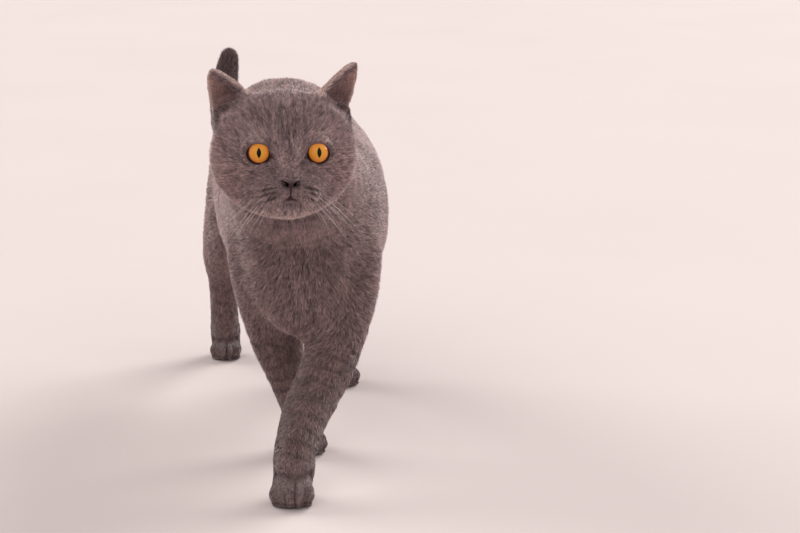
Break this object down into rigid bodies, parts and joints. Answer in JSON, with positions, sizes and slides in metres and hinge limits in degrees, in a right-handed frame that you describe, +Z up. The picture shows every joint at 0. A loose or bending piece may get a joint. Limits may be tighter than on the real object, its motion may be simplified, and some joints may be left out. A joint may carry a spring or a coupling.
{
  "type": "cat",
  "caption": "Short-haired, cobby grey-brown cat walking, head facing forward with amber eyes, low tail curving up at its end.",
  "frame": {"origin": "bottom centre of the bounding box, on the floor the four soles stand on", "axes": "the cat faces -Y, its left side is +X, +Z is up"},
  "size_m": [0.1768, 0.6744, 0.3737],
  "materials": {
    "coat": "matte, dense short fur",
    "nose_leather": "satin, finely pebbled",
    "eye": "wet gloss, opaque"
  },
  "bodies": {
    "root": {"belly": "coat", "chest": "coat", "ear_left": "coat", "ear_right": "coat", "eye_left": "eye", "eye_right": "eye", "foreleg_left_lower": "coat", "foreleg_left_paw": "coat", "foreleg_left_upper": "coat", "foreleg_right_lower": "coat", "foreleg_right_paw": "coat", "foreleg_right_upper": "coat", "head": "coat", "hindleg_left_lower": "coat", "hindleg_left_paw": "coat", "hindleg_left_upper": "coat", "hindleg_right_lower": "coat", "hindleg_right_paw": "coat", "hindleg_right_upper": "coat", "neck": "coat", "nose": "nose_leather", "rump": "coat", "tail_base": "coat", "tail_bend": "coat", "tail_middle": "coat", "tail_tip": "coat"}
  },
  "joints": []
}
